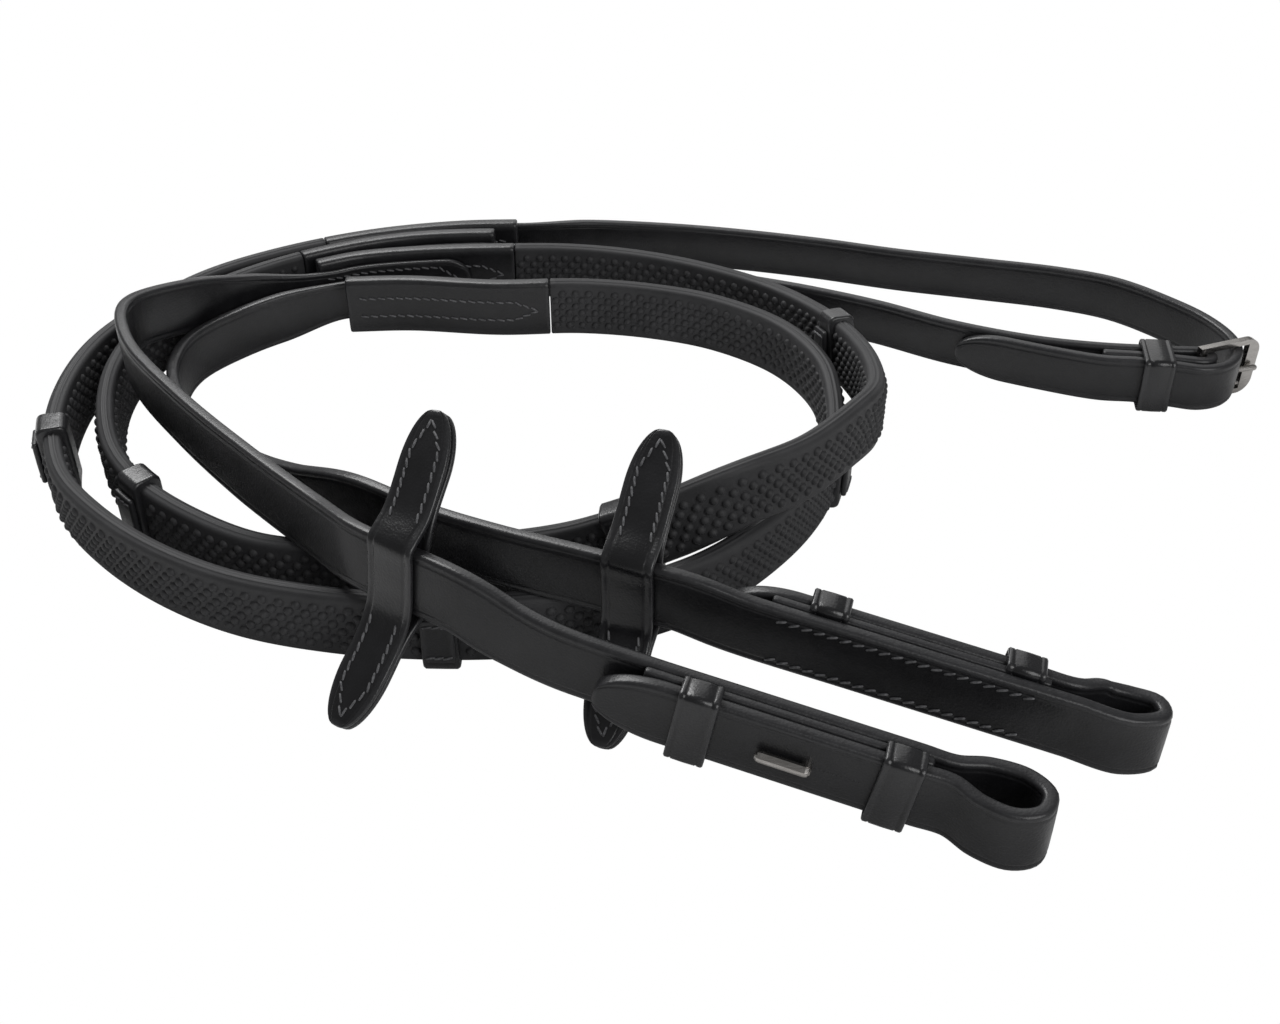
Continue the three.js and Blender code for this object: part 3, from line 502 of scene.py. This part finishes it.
def stitch_row(route, marks, side, slant=0.25, pitch=STITCH_PITCH):
    """Stitches along a line of (s, up) marks on a face at a distance to the side."""
    parts = []
    for (s0, u0), (s1, u1) in zip(marks, marks[1:]):
        length = math.hypot(s1 - s0, u1 - u0)
        count = max(1, round(length / pitch))
        for k in range(count):
            share = (k + 0.5) / count
            s, u = s0 + (s1 - s0) * share, u0 + (u1 - u0) * share
            ds, du = (s1 - s0) / length * STITCH_LENGTH / 2, (u1 - u0) / length * STITCH_LENGTH / 2
            lift = STITCH_RADIUS * 0.35 * (1 if side > 0 else -1)
            tilt = slant * (0.8 + 0.4 * random.random())
            a = route.point(s - ds - du * tilt, side + lift, u - du + ds * tilt)
            b = route.point(s + ds + du * tilt, side + lift, u + du - ds * tilt)
            parts.append(rod(a, b, STITCH_RADIUS))
    return parts


def make_stitches(name, parts, body):
    verts, faces, _ = joined(parts)
    return make_piece(name, verts, faces, THREAD, body)


# ---- Grips ----
def pimples(route, start, end, gaps):
    """Low domes on both faces, in columns of three set half a row apart in turn."""
    parts = []
    count = int((end - start) / (PIMPLE_PITCH / 2))
    for c in range(count):
        s = start + PIMPLE_INSET + c * PIMPLE_PITCH / 2
        if s > end - PIMPLE_INSET or any(abs(s - g) < BAND_LENGTH / 2 + PIMPLE_CLEARANCE for g in gaps):
            continue
        place, along, side_way, up_way = route.at(s)
        for up in PIMPLE_ROWS[c % 2]:
            for face in (1, -1):
                foot = face * (GRIP_THICKNESS / 2 - PIMPLE_SINK)
                centre = place + side_way * foot + up_way * (up - PIMPLE_DROP)
                verts = []
                for radius, height in ((1.0, 0.0), (0.86, 0.5), (0.5, 0.86)):
                    for k in range(8):
                        angle = math.pi * k / 4
                        flat = (along * math.cos(angle) + up_way * math.sin(angle)) * PIMPLE_RADIUS * radius
                        verts.append(centre + flat + side_way * face * PIMPLE_HEIGHT * height)
                verts.append(centre + side_way * face * PIMPLE_HEIGHT)
                faces = []
                for ring in (0, 8):
                    for k in range(8):
                        n = (k + 1) % 8
                        quad = (ring + k, ring + n, ring + 8 + n, ring + 8 + k)
                        faces.append(quad if face < 0 else quad[::-1])
                for k in range(8):
                    tri = (16 + k, 16 + (k + 1) % 8, 24)
                    faces.append(tri if face < 0 else tri[::-1])
                parts.append((verts, faces, [0.0] * 25))
    return parts


def make_grip(side_name, route, stops, tab_sides):
    start = CHAPE_LENGTH + GAP
    end = start + GRIP_LENGTH
    places = [route.nearest(x, y) for x, y in stops]
    body = sweep(route, start, end, grip_profile(), step=2.2)
    verts, faces, edge = joined([body] + pimples(route, start, end, places))
    covered = [f"{side_name}_rubber_grip"]
    make_piece(f"{side_name}_rubber", verts, faces, RUBBER, "reins", covered, edge, "grip_rubber")
    chape = strap_profile(GRIP_THICKNESS, GRIP_WIDTH + 0.2, 1.6, False)
    for label, a, b in (("bit", 0, CHAPE_LENGTH), ("hand", end + GAP, GRIP_END)):
        verts, faces, edge = sweep(route, a, b, chape)
        nodes = [f"{side_name}_{label}_chape"]
        if label == "bit":
            nodes.append(f"{side_name}_grip_core")
        make_piece(f"{side_name}_{label}_sleeve", verts, faces, LEATHER, "reins", nodes, edge)
    face = GRIP_THICKNESS / 2 + 0.1
    rows = []
    for a, b, tip in ((4, CHAPE_LENGTH - 12, CHAPE_LENGTH - 4), (GRIP_END - 4, end + 12, end + 4)):
        for sign in (1, -1):
            for up in (1, -1):
                line = [(a, up * SLEEVE_STITCH_UP), (b, up * SLEEVE_STITCH_UP), (tip, 0)]
                rows += stitch_row(route, line, sign * face)
    make_stitches(f"{side_name}_sleeve_stitches", rows, "reins")
    for i, (s, tab_side) in enumerate(zip(places, tab_sides), 1):
        make_hand_stop(f"{side_name}_hand_stop_{i}", route, s, tab_side)


def make_hand_stop(name, route, middle, tab_side):
    inner = (GRIP_THICKNESS + 2 * BAND_GAP, GRIP_WIDTH + 2 * BAND_GAP)
    outer = strap_profile(inner[0] + 2 * BAND_THICKNESS, inner[1] + 2 * BAND_THICKNESS, 2.2, False)
    band = sweep(route, middle - BAND_LENGTH / 2, middle + BAND_LENGTH / 2, outer, step=0.9, round_ends=0.7)
    make_piece(f"{name}_strap", *band[:2], SHINY, "reins", [f"{name}_band"], band[2])
    off = tab_side * (inner[0] / 2 + BAND_THICKNESS + GAP / 2 + TAB_THICKNESS / 2)
    tab = sweep(route, middle - TAB_LENGTH / 2, middle + TAB_LENGTH / 2,
                strap_profile(TAB_THICKNESS, TAB_HEIGHT, 0.6, False), side=off, step=0.8, round_ends=0.6)
    make_piece(f"{name}_flap", *tab[:2], LEATHER, "reins", [f"{name}_tab"], tab[2])
    face = off + tab_side * TAB_THICKNESS / 2
    rows = []
    for up in (TAB_HEIGHT / 2 - 1.8, -TAB_HEIGHT / 2 + 1.8):
        rows += stitch_row(route, [(middle - 3.3, up), (middle + 3.3, up)], face, pitch=2.4)
    make_stitches(f"{name}_stitches", rows, "reins")


# ---- Rings of leather round the straps ----
def ring(route, s, side_range, up_range, wall, length, rounding=1.6):
    """A leather ring: a rounded oblong round the strap with a softly domed outside."""
    place, along, side_way, up_way = route.at(s)
    cx, cy = sum(side_range) / 2, sum(up_range) / 2
    hx, hy = (side_range[1] - side_range[0]) / 2, (up_range[1] - up_range[0]) / 2
    outline = []
    for sx, sy, first in ((1, -1, -90), (1, 1, 0), (-1, 1, 90), (-1, -1, 180)):
        for k in range(7):
            angle = math.radians(first + 15 * k)
            outline.append((sx * (hx - rounding), sy * (hy - rounding), math.cos(angle), math.sin(angle)))
    half = length / 2
    section = [(-half, -wall * 0.7), (-half - 0.02, -0.35), (-half + 0.35, 0.0), (-half + 1.3, -0.02),
               (-half + 1.6, -0.22), (-half + 1.9, 0.0), (0, 0.06), (half - 1.9, 0.0), (half - 1.6, -0.22),
               (half - 1.3, -0.02), (half - 0.35, 0.0), (half + 0.02, -0.35), (half, -wall * 0.7), (0, -wall)]
    verts, edge = [], []
    for ox, oy, nx, ny in outline:
        for a, d in section:
            r = rounding + d
            verts.append(place + along * a + side_way * (cx + ox + nx * r) + up_way * (cy + oy + ny * r))
            # Ring ends take the full painted edge highlight, and the rest takes a faint trace of it.
            edge.append(1.0 if abs(a) > half - 0.5 else 0.15)
    size, faces = len(section), []
    for i in range(len(outline)):
        j = (i + 1) % len(outline)
        for k in range(size):
            n = (k + 1) % size
            faces.append((i * size + k, j * size + k, j * size + n, i * size + n))
    return verts, faces, edge


# ---- Bit ends ----
def make_bit_end(name, route, loop_side, toe):
    length = route.length
    back = route.nearest(toe[0], toe[1])

    def width_at(s):
        tail = lap_share(length - s, LAP_WIDTH / BIT_WIDTH)
        return point_share(s, POINT_LENGTH) * tail * point_share(length - s, POINT_LENGTH / 2)

    def thick_at(s):
        return lap_share(length - s, LAP_SKIVE)

    strap = sweep(route, 0, length, strap_profile(BIT_THICKNESS, BIT_WIDTH), width_at, thick_at, step=1.2)
    make_piece(f"{name}_billet_and_rein", *strap[:2], LEATHER, "reins", [f"{name}_bit_strap"], strap[2])
    off = loop_side * (BIT_THICKNESS / 2 + GAP + LINING_THICKNESS / 2)
    lining = sweep(route, back - LINING_START - LINING_LENGTH, back - LINING_START,
                   strap_profile(LINING_THICKNESS + 0.4, BIT_WIDTH, 0.7, False), side=off)
    make_piece(f"{name}_lining", *lining[:2], LEATHER, "reins", [f"{name}_billet_lining"], lining[2])
    lap_face = BILLET_PITCH + BIT_THICKNESS / 2
    for i, place in enumerate(KEEPER_PLACES, 1):
        inner = BIT_THICKNESS / 2 + 0.05
        outer = lap_face + RING_ROOM + KEEPER_THICKNESS
        sides = sorted([loop_side * inner, loop_side * outer])
        high = BIT_WIDTH / 2 + RING_ROOM + KEEPER_THICKNESS
        verts, faces, edge = ring(route, back - place, sides, (-high, high), KEEPER_THICKNESS, KEEPER_LENGTH)
        make_piece(f"{name}_keeper_{i}", verts, faces, SHINY, "reins", [f"{name}_billet_keeper_{i}"], edge)
    rows = []
    for up in (BILLET_STITCH_UP, -BILLET_STITCH_UP):
        line = [(back - LINING_START - LINING_LENGTH + 3, up), (back - LINING_START - 2, up)]
        rows += stitch_row(route, line, -loop_side * (BIT_THICKNESS / 2 + 0.08), slant=0.5)
    face = BIT_THICKNESS * LAP_SKIVE / 2
    tip = length - 4
    for sign in (1, -1):
        for up in (LAP_STITCH_UP, -LAP_STITCH_UP):
            line = [(length - LAP_LENGTH + 3, up), (length - 11, up), (tip, 0)]
            rows += stitch_row(route, line, sign * face)
    make_stitches(f"{name}_billet_stitches", rows, "reins")
    outer = slit_face(loop_side)
    slit = []
    for d in range(2, SLIT_LENGTH):
        start = route.point(STUD_PLACE + d, outer, 0)
        slit.append(rod(start, route.point(STUD_PLACE + d + 1, outer, 0), SLIT_LINE_RADIUS))
    verts, faces, edge = joined(slit)
    make_piece(f"{name}_slit_line", verts, faces, LEATHER, "reins", (), edge)


def slit_face(loop_side):
    """The outer face of a billet's lap: the side away from the lining, just under the surface."""
    return -loop_side * (BIT_THICKNESS / 2 - 0.12)


# ---- Rein stops ----
def stop_route(route, place, tab_angle, sways, layer_sign):
    centre, along, side_way, up_way = route.at(place)
    side_way, up_way = side_way / np.linalg.norm(side_way), up_way / np.linalg.norm(up_way)
    slope = math.radians(tab_angle)
    half = BIT_WIDTH / 2
    reach = BIT_THICKNESS / 2 + 0.4 + STOP_PLY / 2
    apart = (STOP_PLY + GAP) / 2

    def tab(distance, layer):
        return (half + 1.6 + distance * math.cos(slope) + layer * apart * math.sin(slope),
                -1.2 - distance * math.sin(slope) + layer * apart * math.cos(slope))

    def mirror(point):
        return (-point[0], -point[1])
    outline = [tab(STOP_TAB, -1), tab(STOP_TAB * 0.6, -1), tab(STOP_TAB * 0.25, -1),
               (half + 1, -reach - 0.9), (half * 0.55, -reach), (0, -reach), (-half * 0.55, -reach),
               (-half - 0.5, -reach - 0.1), (-half - 2.3, -1.2),
               mirror(tab(STOP_TAB * 0.16, 1)), mirror(tab(STOP_TAB * 0.5, 1)), mirror(tab(STOP_TAB, 1))]
    if layer_sign > 0:
        outline = [mirror(p) for p in outline][::-1]
    places = []
    for a, b in outline:
        sway = sways[0] if a > 0 else sways[1]
        along_by = sway * max(0.0, (abs(a) - half) / STOP_TAB) ** 1.5
        places.append(centre + up_way * a + side_way * b + along * along_by)
    return Route(places, lambda t, way: along)


def make_rein_stop(name, route, place, tab_angle, sways):
    body = f"{name}_rein_stop"
    for ply, sign in (("back", -1), ("front", 1)):
        way = stop_route(route, place, tab_angle, sways, sign)

        def width_at(s, way=way):
            return point_share(min(s, way.length - s), STOP_POINT)
        profile = strap_profile(STOP_PLY, STOP_WIDTH, 0.6)
        ply_mesh = sweep(way, 0, way.length, profile, width_at, step=0.9)
        make_piece(f"{name}_stop_{ply}_ply", *ply_mesh[:2], SHINY, body, [f"{body}_{ply}"], ply_mesh[2])
        rows = []
        for face in (1, -1):
            for end, turn in ((2.5, 1), (way.length - 2.5, -1)):
                for up in (STOP_STITCH_UP, -STOP_STITCH_UP):
                    line = [(end, 0), (end + turn * 8, up), (end + turn * (STOP_TAB - 5), up)]
                    rows += stitch_row(way, line, face * STOP_PLY / 2, pitch=2.6)
        make_stitches(f"{name}_stop_{ply}_stitches", rows, body)


# ---- Hand straps and buckle ----
def make_hand_strap(name, route, pointed):
    def width_at(s):
        end = point_share(route.length - s, POINT_LENGTH) if pointed else 1.0
        return lap_share(s, LAP_WIDTH / HAND_WIDTH) * point_share(s, POINT_LENGTH / 2) * end

    def thick_at(s):
        return lap_share(s, LAP_SKIVE)
    profile = strap_profile(HAND_THICKNESS, HAND_WIDTH)
    strap = sweep(route, 0, route.length, profile, width_at, thick_at, step=1.2)
    make_piece(f"{name}_hand_rein", *strap[:2], LEATHER, "reins", [f"{name}_hand_strap"], strap[2])
    rows = []
    for sign in (1, -1):
        for up in (LAP_STITCH_UP, -LAP_STITCH_UP):
            line = [(4, 0), (11, up), (LAP_LENGTH - 3, up)]
            rows += stitch_row(route, line, sign * HAND_THICKNESS * LAP_SKIVE / 2)
    make_stitches(f"{name}_hand_stitches", rows, "reins")


def make_buckle_keeper():
    s = left_hand.nearest(166.5, 67.2)
    wall = KEEPER_THICKNESS - 0.2
    near = -(9.7 + HAND_THICKNESS / 2 + RING_ROOM) - wall
    far = HAND_THICKNESS / 2 + RING_ROOM + wall
    high = HAND_WIDTH / 2 + RING_ROOM + wall
    verts, faces, edge = ring(left_hand, s, (near, far), (-high, high), wall, KEEPER_LENGTH, 2.0)
    make_piece("buckle_loop", verts, faces, SHINY, "reins", ["buckle_keeper"], edge)


def finish_metal():
    """The steel pieces keep their CAD shape, with rounded edges."""
    for name in ("buckle_frame", "buckle_tongue", "left_hook_stud", "right_hook_stud"):
        node = frame["nodes"][name]
        node.data.materials.clear()
        node.data.materials.append(STEEL)
        node.data.polygons.foreach_set("use_smooth", [True] * len(node.data.polygons))
        bevel = node.modifiers.new("soft_edges", "BEVEL")
        bevel.width = EDGE_ROUNDING
        bevel.segments = 3
        bevel.limit_method = "ANGLE"
        bevel.angle_limit = math.radians(35)
        node.modifiers.new("normals", "WEIGHTED_NORMAL")


# ---- Studio ----
def make_studio():
    scene = bpy.context.scene
    scene.view_settings.view_transform = "Standard"
    camera = bpy.data.objects.new("camera", bpy.data.cameras.new("camera"))
    camera.data.lens, camera.data.sensor_width = 41.6, 36
    camera.data.clip_start = 0.01
    camera.location = (Vector((0, -346.4, 262.8)) + SHIFT) * 0.001
    camera.rotation_euler = (math.radians(90 - 37), 0, 0)
    scene.collection.objects.link(camera)
    scene.camera = camera
    world = bpy.data.worlds.new("studio")
    world.use_nodes = True
    world.node_tree.nodes["Background"].inputs["Color"].default_value = (1, 1, 1, 1)
    world.node_tree.nodes["Background"].inputs["Strength"].default_value = 0.16
    scene.world = world
    path = add_node(world.node_tree, "ShaderNodeLightPath")
    white = add_node(world.node_tree, "ShaderNodeBackground", {"Color": (1, 1, 1, 1), "Strength": 1.0})
    choose = add_node(world.node_tree, "ShaderNodeMixShader")
    links = world.node_tree.links
    links.new(path.outputs["Is Camera Ray"], choose.inputs["Fac"])
    links.new(world.node_tree.nodes["Background"].outputs["Background"], choose.inputs[1])
    links.new(white.outputs["Background"], choose.inputs[2])
    links.new(choose.outputs["Shader"], world.node_tree.nodes["World Output"].inputs["Surface"])
    lights = [("key", (-0.35, 0.55, 0.75), 0.5, 6.0), ("front", (0.5, -0.7, 0.6), 0.6, 3.5),
              ("rim", (0.1, 0.9, 0.6), 0.9, 2.2)]
    for name, place, size, power in lights:
        light = bpy.data.lights.new(name, "AREA")
        light.size, light.energy = size, power
        lamp = bpy.data.objects.new(name, light)
        lamp.location = place
        lamp.rotation_euler = (Vector((0, 0, 0)) - Vector(place)).to_track_quat("-Z", "Y").to_euler()
        scene.collection.objects.link(lamp)
    make_floor()


def make_floor():
    """A white sweep that the camera sees as plain white, and that lights the pieces from below."""
    mesh = bpy.data.meshes.new("floor")
    corners = [(x, y, -0.0003) for x, y in ((-3, -3), (3, -3), (3, 3), (-3, 3))]
    mesh.from_pydata(corners, [], [(0, 1, 2, 3)])
    floor = bpy.data.objects.new("floor", mesh)
    bpy.context.scene.collection.objects.link(floor)
    material, tree, shader = new_material("white_floor", 0.6)
    shader.inputs["Base Color"].default_value = (0.85, 0.85, 0.85, 1)
    glow = add_node(tree, "ShaderNodeEmission", {"Color": (1, 1, 1, 1), "Strength": 1.0})
    path = add_node(tree, "ShaderNodeLightPath")
    choose = add_node(tree, "ShaderNodeMixShader")
    tree.links.new(path.outputs["Is Camera Ray"], choose.inputs["Fac"])
    tree.links.new(shader.outputs["BSDF"], choose.inputs[1])
    tree.links.new(glow.outputs["Emission"], choose.inputs[2])
    tree.links.new(choose.outputs["Shader"], tree.nodes["Material Output"].inputs["Surface"])
    mesh.materials.append(material)


make_studio()
make_grip("left", left_grip, [(63.4, 68), (-2, -36), (-140, -11)], [-1, 1, 1])
make_grip("right", right_grip, [(56, 9), (-51, -61.9), (-172.6, 15)], [1, 1, 1])
make_bit_end("left", left_bit, 1, left_toe)
make_bit_end("right", right_bit, -1, right_toe)
make_rein_stop("left", left_bit, left_bit.nearest(-58.5, -68.3), 42, [8, 0])
make_rein_stop("right", right_bit, right_bit.nearest(-2, -70), 51.5, [2, -4])
make_hand_strap("left", left_hand, False)
make_hand_strap("right", right_hand, True)
make_buckle_keeper()
finish_metal()
